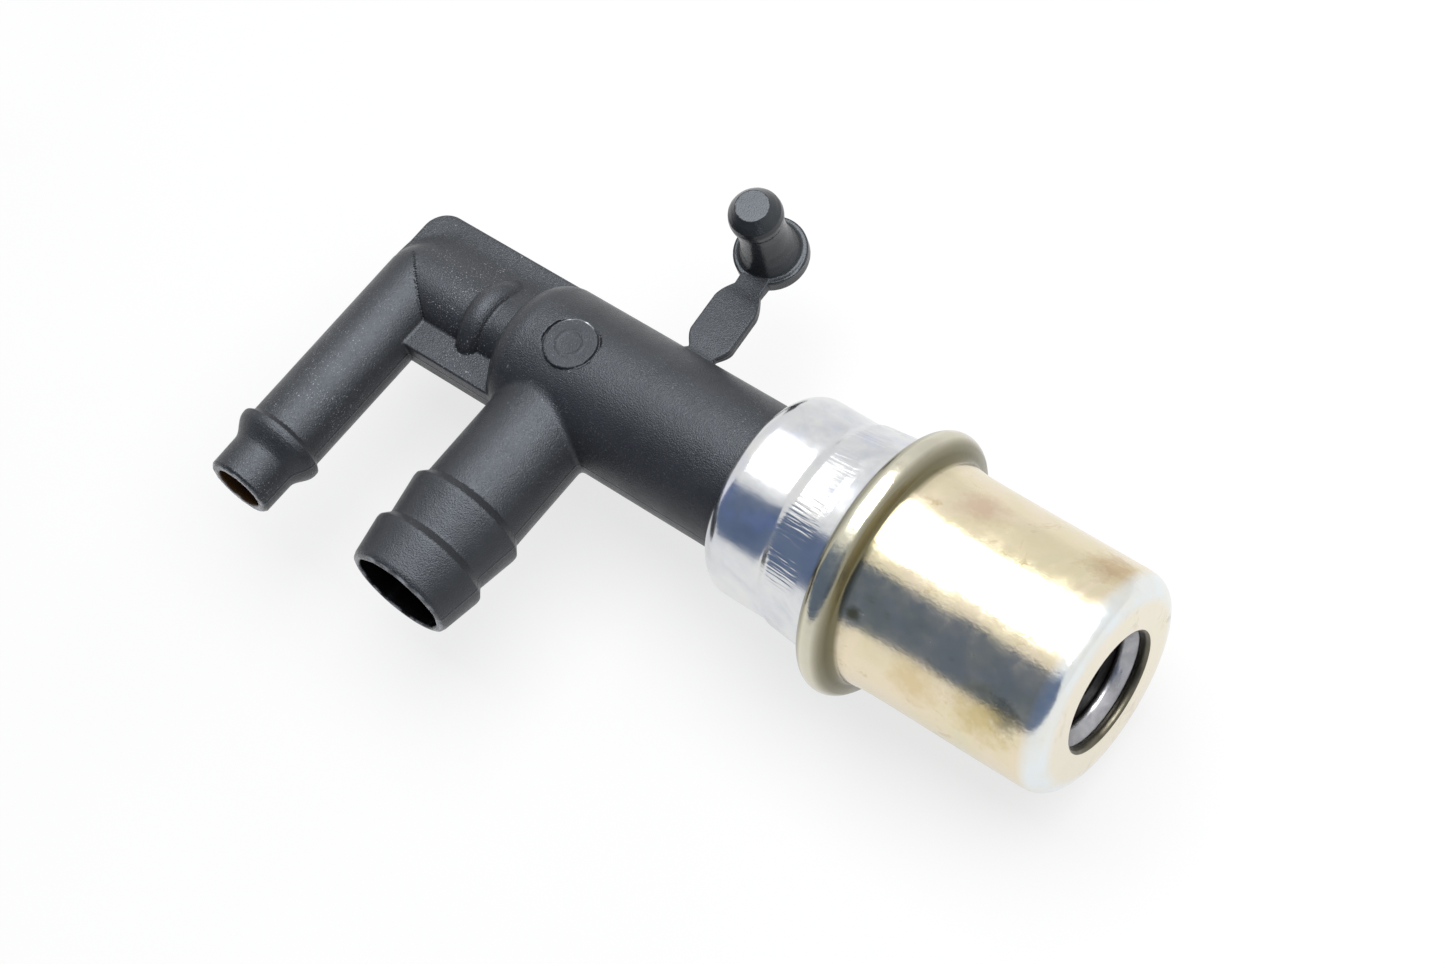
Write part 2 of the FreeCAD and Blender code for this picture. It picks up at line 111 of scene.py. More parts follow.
def turned_solid(along, across, outline, rounding):
    """Distance to an outline (along, across) turned about the across = 0 line.

    The outline starts and ends on that line, so its closing edge is left out.
    """
    best = np.full(along.shape, 1e9, np.float32)
    inside = np.zeros(along.shape, bool)
    for (x0, y0), (x1, y1) in zip(outline, outline[1:]):
        ex, ey = x1 - x0, y1 - y0
        px, py = along - x0, across - y0
        reach = np.clip((px * ex + py * ey) / max(ex * ex + ey * ey, 1e-9), 0.0, 1.0)
        best = np.minimum(best, (px - ex * reach) ** 2 + (py - ey * reach) ** 2)
        if abs(ey) > 1e-9:
            crosses = (y0 > across) != (y1 > across)
            inside ^= crosses & (along < x0 + ex * (across - y0) / ey)
    return np.where(inside, -1.0, 1.0) * np.sqrt(best) - rounding


def eroded(outline, by):
    """The outline drawn in by about `by`, ready to be rounded back out."""
    return [(u + by, max(r - by, 0.0)) for u, r in outline]


def large_nipple(x, y, z):
    """Pipe with two barbs, each with a steep back, a short crest and a long ramp."""
    ridge, crest_length, rounding = LARGE_R + LARGE_BARB, 0.3, 0.07
    outline = [(0.0, 0.0), (0.0, LARGE_R)]
    # Back, its rise over the pipe, crest, foot of the ramp, its rise: lengths from the mouth.
    barbs = [(9.75, -0.04, 9.0, 5.15, 0.02), (4.85, 0.0, 4.1, 0.45, 0.03)]
    for back, back_rise, crest, foot, foot_rise in barbs:
        outline += [(LARGE_MOUTH + back, LARGE_R + back_rise),
                    (LARGE_MOUTH + crest, ridge),
                    (LARGE_MOUTH + crest - crest_length, ridge),
                    (LARGE_MOUTH + foot, LARGE_R + foot_rise)]
    outline += [(LARGE_MOUTH + 0.12, LARGE_R - 0.1), (LARGE_MOUTH, LARGE_R - 0.4),
                (LARGE_MOUTH, 0.0)]
    return turned_solid(y, np.hypot(x - LARGE_X, z), eroded(outline, rounding), rounding)


def small_nipple(x, y, z):
    """Pipe with one smooth barb that narrows towards its mouth."""
    crest, ramp_length, ramp_drop, rounding = SMALL_MOUTH + 5.35, 2.15, 1.0, 0.06
    ramp = [(crest - ramp_length * t, SMALL_CREST - ramp_drop * eased(t))
            for t in np.linspace(0.0, 1.0, 8)]
    outline = [(0.0, 0.0), (0.0, SMALL_R + 0.04), (SMALL_MOUTH + 6.1, SMALL_R - 0.03),
               (crest + 0.3, SMALL_CREST)] + ramp
    outline += [(SMALL_MOUTH + 0.25, 3.16), (SMALL_MOUTH, 2.95), (SMALL_MOUTH, 0.0)]
    return turned_solid(y, np.hypot(x - SMALL_X, z), eroded(outline, rounding), rounding)


def web_plate(x, y, z):
    """Flat web in the parting plane: round the elbow and between the two pipes."""
    left, right = SMALL_X - SMALL_R + 0.22, -36.0
    outer, hidden, inner = 6.82, -2.5, -6.3
    corner, half_thick, edge = 2.3, 1.4, 0.2
    outer_part = rounded_meet(between(x, left, right), between(y, hidden, outer), corner)
    inner_part = np.maximum(between(x, SMALL_X, right), between(y, inner, 0.0))
    return rounded_meet(np.minimum(outer_part, inner_part),
                        between(z, -half_thick, half_thick), edge)


def gate_mark(x, y, z):
    """Flat disc left by the mould's gate; it stands a little proud on one side."""
    depth, tilt = 2.0, 0.05
    away = np.hypot(x - GATE.x, y - GATE.y)
    lift = tilt * ((y - GATE.y) - 0.6 * (x - GATE.x))
    return rounded_meet(away - GATE_R, between(z - lift, GATE.z - depth, GATE.z), 0.1)


def gate_groove(x, y, z):
    """Thin ring sunk round the gate mark, deeper than it is wide."""
    away = np.hypot(x - GATE.x, y - GATE.y)
    return np.hypot(away - GROOVE_R, (z - GATE.z + 0.1) * 0.6) - 0.13


def mitre_line(x, y, z, skin):
    """Hairline along the mitre of the elbow, on its inner side and upper face."""
    half_width, depth, stops_at = 0.08, 0.07, 0.9
    off_plane = np.abs(x - SMALL_X + y) * 0.707 - half_width
    return np.maximum(np.maximum(off_plane, -skin - depth), np.maximum(y - stops_at, -z))


def elbow_pipe(x, y, z):
    """Thin pipe that leaves the barrel's end, turns at a mitre and ends in the small nipple."""
    cross = np.maximum(np.hypot(y, z) - SMALL_R, between(x, SMALL_X, CROSS_FRONT))
    ball = np.sqrt((x - SMALL_X) ** 2 + y * y + z * z) - SMALL_R
    pipe = np.minimum(np.minimum(cross, ball), small_nipple(x, y, z))
    return cut(pipe, mitre_line(x, y, z, pipe), 0.04)


def body_hollows(x, y, z):
    """The two bores, the passage from one to the other and the chamber for the pintle."""
    from_axis = np.hypot(y, z)
    angle = np.arctan2(z, x - LARGE_X)
    ragged = 0.05 * np.sin(5 * angle + 0.7) + 0.04 * np.sin(11 * angle)
    large_bore = np.maximum(np.hypot(x - LARGE_X, z) - LARGE_BORE - ragged, y + 1.0)
    small_bore = np.maximum(np.hypot(x - SMALL_X, z) - SMALL_BORE, y - 0.6)
    passage = np.maximum(from_axis - SMALL_BORE, between(x, SMALL_X, CHAMBER_END + 1.0))
    chamber = np.maximum(from_axis - CHAMBER_R, CHAMBER_END - x)
    return large_bore, small_bore, passage, chamber


def body_distance(x, y, z):
    """The moulding without its tether and plug. The web's fillet is wide outside the elbow."""
    from_axis = np.hypot(y, z)
    outward = np.clip((y + 0.5) / 2.5, 0.0, 1.0)
    inward = np.clip((x - SMALL_X + 4.0) / 4.5, 0.3, 1.0)
    solid = join(elbow_pipe(x, y, z), web_plate(x, y, z), 0.2 + 2.4 * outward * inward)
    bead = np.hypot(from_axis - BEAD_RING, x - BEAD_X) - BEAD_TUBE
    solid = join(solid, bead, 0.16)
    barrel = rounded_meet(from_axis - BARREL_R, between(x, BARREL_END, BARREL_FRONT),
                          BARREL_ROUND)
    collar = rounded_meet(from_axis - COLLAR_R, between(x, COLLAR_REAR, COLLAR_FRONT),
                          COLLAR_ROUND)
    solid = join(solid, np.minimum(barrel, collar), 0.25)
    solid = join(solid, large_nipple(x, y, z), 0.45)
    solid = np.minimum(solid, gate_mark(x, y, z))
    solid = cut(solid, gate_groove(x, y, z), 0.05)
    for hollow in body_hollows(x, y, z):
        solid = cut(solid, hollow, 0.2)
    return solid


# ------------------------------------------------------------------ mesh making
def gradient(distance, points, step=0.02):
    """Slope of the distance field at each point, which is also the surface's normal."""
    slope = np.empty_like(points)
    for axis in range(3):
        ahead, behind = points.copy(), points.copy()
        ahead[:, axis] += step
        behind[:, axis] -= step
        slope[:, axis] = (distance(*ahead.T) - distance(*behind.T)) / (2 * step)
    return slope


def sampled(distance, axes, block=8, batch=400000):
    """Distance field on a grid, worked out in full only in blocks near the surface."""
    step = axes[0][1] - axes[0][0]
    middles = [a[::block] + step * (block - 1) / 2 for a in axes]
    coarse = distance(*np.meshgrid(*middles, indexing="ij"))
    # A block's half diagonal is under 0.87 of its side; the rest allows for inexact distances.
    reach = step * block * 0.9 + 0.3
    for axis in range(3):
        coarse = np.repeat(coarse, block, axis=axis)
    values = coarse[tuple(slice(0, len(a)) for a in axes)].astype(np.float32)
    near = np.argwhere(np.abs(values) < reach)
    for first in range(0, len(near), batch):
        part = near[first:first + batch]
        values[tuple(part.T)] = distance(*(axis[index] for axis, index in zip(axes, part.T)))
    return values


def cell_points(values):
    """One point in each grid cell that the surface crosses, the mean of its edge crossings.

    Points are in grid steps. The second result is a grid of the points' numbers, or -1.
    """
    inside = values < 0
    corner_steps = [(i, j, k) for i in (0, 1) for j in (0, 1) for k in (0, 1)]
    shape = [n - 1 for n in inside.shape]

    def corner(offset):
        return inside[tuple(slice(o, o + n) for o, n in zip(offset, shape))]

    count = sum(corner(o).astype(np.int8) for o in corner_steps)
    cells = np.argwhere((count > 0) & (count < 8))
    number = np.full(shape, -1, np.int32)
    number[tuple(cells.T)] = np.arange(len(cells))
    at_corner = [values[tuple((cells + o).T)] for o in corner_steps]
    total, hits = np.zeros((len(cells), 3)), np.zeros(len(cells))
    for first, a in enumerate(corner_steps):
        for second, b in enumerate(corner_steps):
            if first < second and sum(abs(p - q) for p, q in zip(a, b)) == 1:
                va, vb = at_corner[first], at_corner[second]
                crossed = (va < 0) != (vb < 0)
                share = np.where(crossed, va / np.where(crossed, va - vb, 1.0), 0.0)
                place = np.array(a) + share[:, None] * (np.array(b) - np.array(a))
                total += place * crossed[:, None]
                hits += crossed
    return cells + total / hits[:, None], number


def crossing_quads(inside, number):
    """A quad through the four cells round each grid edge that the surface crosses."""
    quads = []
    for axis in range(3):
        ahead = [0, 0, 0]
        ahead[axis] = 1
        a = inside[tuple(slice(0, n - o) for n, o in zip(inside.shape, ahead))]
        b = inside[tuple(slice(o, None) for o in ahead)]
        edges = np.argwhere(a != b)
        others = [i for i in range(3) if i != axis]
        keep = np.all(edges[:, others] > 0, axis=1)
        keep &= np.all(edges[:, others] < np.array(number.shape)[others], axis=1)
        edges = edges[keep]
        ring = []
        for du, dv in ((1, 1), (0, 1), (0, 0), (1, 0)):
            cell = edges.copy()
            cell[:, others[0]] -= du
            cell[:, others[1]] -= dv
            ring.append(number[tuple(cell.T)])
        ring = np.stack(ring, axis=1)
        # About Y the other two axes come in the opposite turning order.
        outward = a[tuple(edges.T)] ^ (axis == 1)
        ring[~outward] = ring[~outward][:, ::-1]
        quads.append(ring)
    return np.concatenate(quads)


def settled(distance, points, rounds=3, share_of_way=0.9):
    """Points moved along the slope, in each round most of the way to the true surface."""
    for _ in range(rounds):
        slope = gradient(distance, points)
        steepness = np.maximum((slope ** 2).sum(axis=1), 0.2)
        points = points - slope * (distance(*points.T) / steepness)[:, None] * share_of_way
    return points


def surface(distance, low, high, step):
    """Vertices and quads of the zero surface of a distance field (surface nets)."""
    axes = [np.arange(a, b + step, step, dtype=np.float32) for a, b in zip(low, high)]
    values = sampled(distance, axes)
    cells, number = cell_points(values)
    points = cells * step + np.array([a[0] for a in axes])
    return settled(distance, points), crossing_quads(values < 0, number)


def new_object(name, points, faces, material, normals=None):
    """Smooth-shaded mesh object; its normals come from the faces unless they are given."""
    points = np.asarray(points) * MM
    mesh = bpy.data.meshes.new(name)
    mesh.from_pydata(points.tolist(), [], np.asarray(faces).tolist())
    mesh.polygons.foreach_set("use_smooth", [True] * len(mesh.polygons))
    if normals is not None:
        length = np.linalg.norm(normals, axis=1)[:, None]
        mesh.normals_split_custom_set_from_vertices((normals / length).tolist())
    mesh.materials.append(material)
    obj = bpy.data.objects.new(name, mesh)
    bpy.context.scene.collection.objects.link(obj)
    return obj


def modelled(name, distance, low, high, step, material):
    """Object with the surface of a distance field, looked for between two box corners."""
    points, quads = surface(distance, low, high, step)
    return new_object(name, points, quads, material, gradient(distance, points))


def arc(centre_x, centre_r, radius, start, stop, steps=10):
    """Outline points on an arc, angles in degrees from +X towards larger radius."""
    return [(centre_x + radius * math.cos(math.radians(a)),
             centre_r + radius * math.sin(math.radians(a)))
            for a in np.linspace(start, stop, steps)]


def turned_mesh(name, outline, material, around=256, shape=None):
    """Outline (x, r) turned about the main axis. `shape` adds relief to each radius."""
    outline = np.array(outline)
    angles = np.linspace(0, 2 * math.pi, around, endpoint=False)
    x = np.repeat(outline[:, 0][:, None], around, axis=1)
    r = np.repeat(outline[:, 1][:, None], around, axis=1)
    theta = np.repeat(angles[None, :], len(outline), axis=0)
    if shape is not None:
        r = r + shape(x, r, theta)
    points = np.stack([x, r * np.cos(theta), r * np.sin(theta)], axis=-1).reshape(-1, 3)
    i, j = np.meshgrid(np.arange(len(outline)), np.arange(around), indexing="ij")
    i2, j2 = (i + 1) % len(outline), (j + 1) % around
    quads = np.stack([i * around + j, i * around + j2, i2 * around + j2, i2 * around + j],
                     axis=-1).reshape(-1, 4)
    return new_object(name, points, quads, material)


# ------------------------------------------------------------------ materials
class Shader:
    """A small wrapper that keeps node set-ups short."""

    def __init__(self, name, **sockets):
        self.material = bpy.data.materials.new(name)
        self.material.use_nodes = True
        self.tree = self.material.node_tree
        self.bsdf = self.tree.nodes["Principled BSDF"]
        for socket, value in sockets.items():
            self.bsdf.inputs[socket.replace("_", " ")].default_value = value
        self.place = self.node("ShaderNodeTexCoord").outputs["Object"]

    def feed(self, value, socket):
        """Link an output to the socket, or set the socket to a plain value."""
        if hasattr(value, "is_output"):
            self.tree.links.new(value, socket)
        else:
            socket.default_value = value

    def node(self, kind, **inputs):
        made = self.tree.nodes.new(kind)
        for key, value in inputs.items():
            self.feed(value, made.inputs[key.replace("_", " ")])
        return made

    def link(self, source, socket):
        self.tree.links.new(source, self.bsdf.inputs[socket])

    def stretched(self, scale):
        mapping = self.node("ShaderNodeMapping", Vector=self.place, Scale=scale)
        return mapping.outputs["Vector"]

    def noise(self, scale, detail=3.0, rough=0.5, vector=None, distortion=0.0):
        return self.node("ShaderNodeTexNoise", Vector=vector or self.place, Scale=scale,
                         Detail=detail, Roughness=rough, Distortion=distortion).outputs["Fac"]

    def ramp(self, source, *stops):
        """Colour ramp from (place, value) stops, where a value is a grey or a colour."""
        made = self.node("ShaderNodeValToRGB", Fac=source)
        ramp = made.color_ramp
        while len(ramp.elements) < len(stops):
            ramp.elements.new(0.5)
        for element, (place, value) in zip(ramp.elements, stops):
            element.position = place
            element.color = value if isinstance(value, tuple) else (value, value, value, 1.0)
        return made.outputs["Color"]

    def mixed(self, share, base, layer):
        """The base colour with that share of the layer's colour over it."""
        made = self.tree.nodes.new("ShaderNodeMix")
        made.data_type = "RGBA"
        for index, value in ((0, share), (6, base), (7, layer)):
            self.feed(value, made.inputs[index])
        return made.outputs[2]

    def bump(self, height, strength, distance, normal=None):
        made = self.node("ShaderNodeBump", Height=height, Strength=strength,
                         Distance=distance * MM)
        if normal is not None:
            self.tree.links.new(normal, made.inputs["Normal"])
        return made.outputs["Normal"]

    def finish_normal(self, normal):
        self.link(normal, "Normal")
        return self.material


# A line's direction, as the scale that flattens it out of a distance.
ABOUT_X, ABOUT_Y, ABOUT_Z = (0.0, 1.0, 1.0), (1.0, 0.0, 1.0), (1.0, 1.0, 0.0)
ABOUT_POINT = (1.0, 1.0, 1.0)


def math_node(s, operation, first, second=0.0):
    made = s.tree.nodes.new("ShaderNodeMath")
    made.operation = operation
    for value, socket in zip((first, second), made.inputs):
        s.feed(value, socket)
    return made.outputs[0]


def times(s, first, second):
    return math_node(s, "MULTIPLY", first, second)


def larger(s, first, second):
    return math_node(s, "MAXIMUM", first, second)


def apart(s, length, middle):
    """How far a length is from `middle`, either way."""
    return math_node(s, "ABSOLUTE", math_node(s, "SUBTRACT", length, middle * MM))


def fall_off(s, value, full, none, unit=MM):
    """1 where the value is at `full` or past it, falling to 0 at `none`."""
    made = s.node("ShaderNodeMapRange", Value=value)
    for socket, number in (("From Min", full * unit), ("From Max", none * unit),
                           ("To Min", 1.0), ("To Max", 0.0)):
        made.inputs[socket].default_value = number
    return made.outputs[0]


def distance_from(s, centre, about):
    """Distance from a line through `centre`, or from that point with ABOUT_POINT."""
    moved = s.node("ShaderNodeMapping", Vector=s.place, Location=tuple(-c * MM for c in centre))
    flat = s.node("ShaderNodeMapping", Vector=moved.outputs["Vector"], Scale=about)
    length = s.node("ShaderNodeVectorMath", Vector=flat.outputs["Vector"])
    length.operation = "LENGTH"
    return length.outputs["Value"]


def place_axes(s):
    return s.node("ShaderNodeSeparateXYZ", Vector=s.place).outputs


def in_bore(s, along_y, x, full, none):
    """1 on the wall of a nipple's bore, in the stretch near its mouth."""
    from_bore = distance_from(s, (x, 0.0, 0.0), ABOUT_Y)
    return times(s, fall_off(s, along_y, -8.0, -6.0), fall_off(s, from_bore, full, none))


def dust_specks(s, along, speck):
    """Pale specks and finer grit in patches, thickest on the elbow's end of the body."""
    specks = s.ramp(s.noise(2600.0, 2.0, 0.5), (0.73, 0.0), (0.78, speck))
    grit = s.ramp(s.noise(8500.0, 1.0, 0.5), (0.665, 0.0), (0.715, speck))
    patchy = s.ramp(s.noise(150.0, 2.0, 0.5), (0.42, 0.15), (0.6, 1.0))
    dusty_end = larger(s, fall_off(s, along, -43.0, -38.0), 0.35)
    return times(s, times(s, larger(s, specks, grit), patchy), dusty_end)


def gate_glint(s, from_gate):
    """Painted highlight: a paler stretch of the gate mark's edge, on the side of the web."""
    edge = fall_off(s, apart(s, from_gate, 2.36), 0.04, 0.12)
    corner = GATE + Vector((-1.2, 2.1, 0.0))
    beside_web = fall_off(s, distance_from(s, corner, ABOUT_Z), 1.2, 2.2)
    patchiness = s.ramp(s.noise(1500.0, 2.0, 0.5), (0.42, 0.1), (0.6, 0.8))
    return times(s, patchiness, times(s, beside_web, edge))


def nylon_relief(s, height, from_gate, grain):
    """Mould texture, the parting line at Z = 0 and the ring inside the gate mark."""
    fine = s.bump(s.noise(7500.0, 2.0, 0.6), grain, 0.06)
    wide = s.bump(s.noise(1500.0, 3.0, 0.55), 0.35, 0.06, fine)
    parting = fall_off(s, apart(s, height, 0.0), 0.04, 0.16)
    seam = s.bump(parting, 0.8, 0.06, wide)
    ring = fall_off(s, apart(s, from_gate, 1.2), 0.05, 0.25)
    return s.bump(ring, 0.6, 0.08, seam)


def moulded_nylon(name, base, rough, speck=0.5, grain=1.0):
    """Black glass-filled nylon: mould texture, dust specks, painted shade inside the mouths, a
    painted highlight on the torn rim and on the gate mark's edge.
    """
    s = Shader(name, Specular_Tint=(0.82, 0.90, 1.0, 1.0))
    axes = place_axes(s)
    large_bore_shade = in_bore(s, axes["Y"], LARGE_X, 4.25, 4.4)
    small_bore_tint_and_shade = in_bore(s, axes["Y"], SMALL_X, 2.22, 2.4)
    from_gate = distance_from(s, GATE, ABOUT_Z)

    dark = tuple(c * 0.8 for c in base) + (1.0,)
    pale = tuple(c * 1.25 for c in base) + (1.0,)
    tone = s.ramp(s.noise(180.0, 4.0, 0.6), (0.3, dark), (0.7, pale))
    tone = s.mixed(dust_specks(s, axes["X"], speck), tone, (0.30, 0.31, 0.33, 1.0))
    # Painted shade: the large bore's wall near its mouth is made near black.
    tone = s.mixed(large_bore_shade, tone, (0.002, 0.002, 0.002, 1.0))
    # Dark brown inside the small bore: its own brownish tint, darkened as painted shade.
    tone = s.mixed(small_bore_tint_and_shade, tone, (0.035, 0.017, 0.006, 1.0))
    # Painted highlight: a pale, ragged band on the rim of the large mouth.
    torn = s.ramp(s.noise(900.0, 3.0, 0.6), (0.45, 0.03), (0.62, 0.5))
    rim_highlight = times(s, fall_off(s, axes["Y"], LARGE_MOUTH + 0.05, LARGE_MOUTH + 0.2), torn)
    tone = s.mixed(rim_highlight, tone, (0.42, 0.44, 0.47, 1.0))
    # Painted highlight on the gate mark's edge.
    s.link(s.mixed(gate_glint(s, from_gate), tone, (0.6, 0.63, 0.66, 1.0)), "Base Color")

    shine, shine_lost_inside = 0.36, 0.33
    # As part of the painted shade, both bore walls also lose most of their shine.
    lost = times(s, larger(s, large_bore_shade, small_bore_tint_and_shade), shine_lost_inside)
    s.link(math_node(s, "SUBTRACT", shine, lost), "Specular IOR Level")

    uneven = s.ramp(s.noise(420.0, 3.0, 0.6), (0.3, rough - 0.05), (0.7, rough + 0.06))
    lip = fall_off(s, axes["Y"], LARGE_MOUTH + 0.2, LARGE_MOUTH + 0.5)
    duller_gate = times(s, fall_off(s, from_gate, 2.3, 2.45), 0.16)
    smoother_lip = math_node(s, "SUBTRACT", uneven, times(s, lip, 0.2))
    s.link(math_node(s, "ADD", smoother_lip, duller_gate), "Roughness")
    return s.finish_normal(nylon_relief(s, axes["Z"], from_gate, grain))


def on_can(along, angle, radius=CAN_R):
    """Point on the can's wall; the angle is in degrees from +Y towards +Z."""
    turn = math.radians(angle)
    return along, radius * math.cos(turn), radius * math.sin(turn)


def blot(s, centre, core, edge):
    """Ragged-edged spot round a point, 1 within `core` and 0 past `edge`."""
    raggedness = 1.6
    wander = times(s, math_node(s, "SUBTRACT", s.noise(700.0, 4.0, 0.65), 0.5),
                   edge * MM * raggedness)
    away = math_node(s, "ADD", distance_from(s, centre, ABOUT_POINT), wander)
    return fall_off(s, away, core, edge)


# Painted violet glints on the sleeve: station along X, angle as in on_can, radii of core and
# edge.
PAINTED_SLEEVE_GLINTS = [(-13.3, 122.0, 0.2, 1.2), (-11.0, 129.0, 0.1, 0.9), (-9.7, 127.0, 0.3, 1.3),
                (-8.6, 124.0, 0.1, 0.8), (-12.2, 132.0, 0.1, 0.9)]


def silver_zinc():
    """Bright zinc plate: cloudy lustre, violet bloom, painted violet glints, painted shade at the
    crevice, crimping lines beside the step.
    """
    s = Shader("silver_zinc", Metallic=1.0)
    cloud = s.noise(260.0, 4.0, 0.6, distortion=0.4)
    tone = s.ramp(cloud, (0.25, (0.56, 0.58, 0.62, 1.0)), (0.5, (0.69, 0.70, 0.71, 1.0)),
                  (0.8, (0.78, 0.775, 0.75, 1.0)))
    bloom = s.ramp(s.noise(330.0, 2.0, 0.5, distortion=0.3), (0.57, 0.0), (0.7, 0.2))
    tone = s.mixed(bloom, tone, (0.56, 0.60, 0.86, 1.0))
    # Painted violet glints at the listed places.
    for along, angle, core, edge in PAINTED_SLEEVE_GLINTS:
        spot = blot(s, on_can(along, angle, SLEEVE_R), core, edge)
        tone = s.mixed(times(s, spot, 0.5), tone, (0.74, 0.76, 1.0, 1.0))
    place_x = place_axes(s)["X"]
    # Painted shade in the crevice where the sleeve meets the can's hem.
    crevice = fall_off(s, apart(s, place_x, CREVICE), 0.2, 0.9)
    tone = s.mixed(times(s, crevice, 0.75), tone, (0.16, 0.15, 0.13, 1.0))
    s.link(tone, "Base Color")
    s.link(s.ramp(s.noise(500.0, 4.0, 0.6), (0.3, 0.15), (0.75, 0.25)), "Roughness")

    crimped = fall_off(s, apart(s, place_x, CRIMP_BAND), 1.2, 2.0)
    lines = s.noise(3600.0, 1.0, 0.5, s.stretched((0.03, 1.0, 1.0)))
    grain = s.bump(s.noise(1500.0, 3.0, 0.6, s.stretched((0.15, 1.0, 1.0))), 0.25, 0.04)
    dents = s.bump(s.noise(230.0, 2.0, 0.5), 0.14, 0.2, grain)
    return s.finish_normal(s.bump(times(s, lines, crimped), 0.6, 0.09, dents))


# Stains on the can, and one dark patch (the first) on its near side: station along X, angle as in
# on_can, radii of core and edge, colour.
CAN_STAINS_AND_DARK_PATCH = [(16.2, 148.0, 0.8, 1.9, (0.14, 0.14, 0.11, 1.0)),
              (14.4, 154.0, 0.8, 3.4, (0.58, 0.47, 0.22, 1.0)),
              (8.0, 158.0, 0.6, 3.0, (0.66, 0.53, 0.30, 1.0)),
              (1.4, 140.0, 0.2, 0.8, (0.20, 0.16, 0.05, 1.0)),
              (17.0, 54.0, 0.8, 2.8, (0.52, 0.38, 0.22, 1.0)),
              (5.5, 62.0, 0.5, 2.6, (0.66, 0.50, 0.36, 1.0))]


def chromate_film(s):
    """Straw film with greyer and browner clouds, and scattered brown stains."""
    straw = (0.74, 0.66, 0.45, 1.0)
    cloud = s.noise(95.0, 5.0, 0.62, distortion=0.7)
    film = s.ramp(cloud, (0.25, (0.64, 0.66, 0.56, 1.0)), (0.42, straw),
                  (0.56, (0.78, 0.68, 0.51, 1.0)), (0.68, straw), (0.85, (0.62, 0.58, 0.55, 1.0)))
    stained = s.ramp(s.noise(330.0, 6.0, 0.72, distortion=0.5), (0.58, 0.0), (0.72, 0.75))
    return s.mixed(stained, film, (0.50, 0.36, 0.19, 1.0))


def hem_fold_shade(s, along):
    """Painted shade in the folds behind and in front of the hem."""
    share = s.node("ShaderNodeMapRange", Value=along, From_Min=-FLANGE_THICK * MM,
                   From_Max=FLANGE_THICK * MM).outputs[0]
    return s.ramp(share, (0.0, 0.9), (0.12, 0.6), (0.2, 0.05), (0.36, 0.15), (0.43, 0.6),
                  (0.5, 0.95), (0.57, 0.9), (0.66, 0.15), (0.8, 0.0))


def plating_pimples(s):
    """Small round pimples at the middles of some of the cells of a Voronoi pattern."""
    cells = s.node("ShaderNodeTexVoronoi", Vector=s.place, Scale=230.0)
    chosen = s.ramp(cells.outputs["Color"], (0.66, 0.0), (0.7, 1.0))
    return times(s, fall_off(s, cells.outputs["Distance"], 0.05, 0.14, unit=1.0), chosen)


def yellow_zinc():
    """Yellow chromate over zinc: straw film, bluish-white nose shoulder, painted shade in the
    hem's folds, stains, a dark patch and pimples.
    """
    s = Shader("yellow_zinc", Metallic=1.0)
    along = place_axes(s)["X"]
    tint = chromate_film(s)
    on_hem = fall_off(s, along, 0.0, 0.4)
    tint = s.mixed(times(s, on_hem, 0.55), tint, (0.60, 0.62, 0.56, 1.0))
    # Painted shade in the hem's folds.
    tint = s.mixed(hem_fold_shade(s, along), tint, (0.13, 0.115, 0.06, 1.0))
    for station, angle, core, edge, colour in CAN_STAINS_AND_DARK_PATCH:
        tint = s.mixed(times(s, blot(s, on_can(station, angle), core, edge), 0.8), tint, colour)
    at_nose = fall_off(s, along, 19.1, 18.1)
    tint = s.mixed(times(s, at_nose, 0.45), tint, (0.84, 0.82, 0.75, 1.0))
    on_shoulder = fall_off(s, distance_from(s, (0.0, 0.0, 0.0), ABOUT_X), 8.8, 7.9)
    patchiness = s.ramp(s.noise(260.0, 4.0, 0.6), (0.35, 0.5), (0.6, 0.85))
    tint = s.mixed(times(s, times(s, at_nose, on_shoulder), patchiness), tint, (0.76, 0.82, 0.86, 1.0))
    pimples = plating_pimples(s)
    tint = s.mixed(times(s, pimples, 0.6), tint, (0.35, 0.33, 0.24, 1.0))
    s.link(tint, "Base Color")
    s.link(s.ramp(s.noise(420.0, 5.0, 0.7), (0.3, 0.12), (0.72, 0.29)), "Roughness")

    peel = s.bump(s.noise(2300.0, 3.0, 0.6), 0.3, 0.04)
    lines = s.bump(s.noise(1100.0, 3.0, 0.6, s.stretched((0.15, 1.0, 1.0))), 0.15, 0.04, peel)
    dents = s.bump(s.noise(160.0, 3.0, 0.5), 0.22, 0.2, lines)
    return s.finish_normal(s.bump(pimples, 0.5, 0.1, dents))


def plain_steel(name, colour, rough):
    """Untreated metal with turning marks and uneven colour."""
    s = Shader(name, Metallic=1.0)
    dark = tuple(c * 0.7 for c in colour) + (1.0,)
    s.link(s.ramp(s.noise(700.0, 4.0, 0.6), (0.3, dark), (0.7, colour + (1.0,))), "Base Color")
    s.link(s.ramp(s.noise(1300.0), (0.3, rough - 0.08), (0.7, rough + 0.08)), "Roughness")
    marks = s.noise(3000.0, 2.0, 0.6, s.stretched((1.0, 0.3, 0.3)))
    return s.finish_normal(s.bump(marks, 0.5, 0.05))


def rubber():
    s = Shader("gasket_rubber", Base_Color=(0.025, 0.025, 0.026, 1.0), Roughness=0.7)
    return s.finish_normal(s.bump(s.noise(2400.0), 0.4, 0.05))


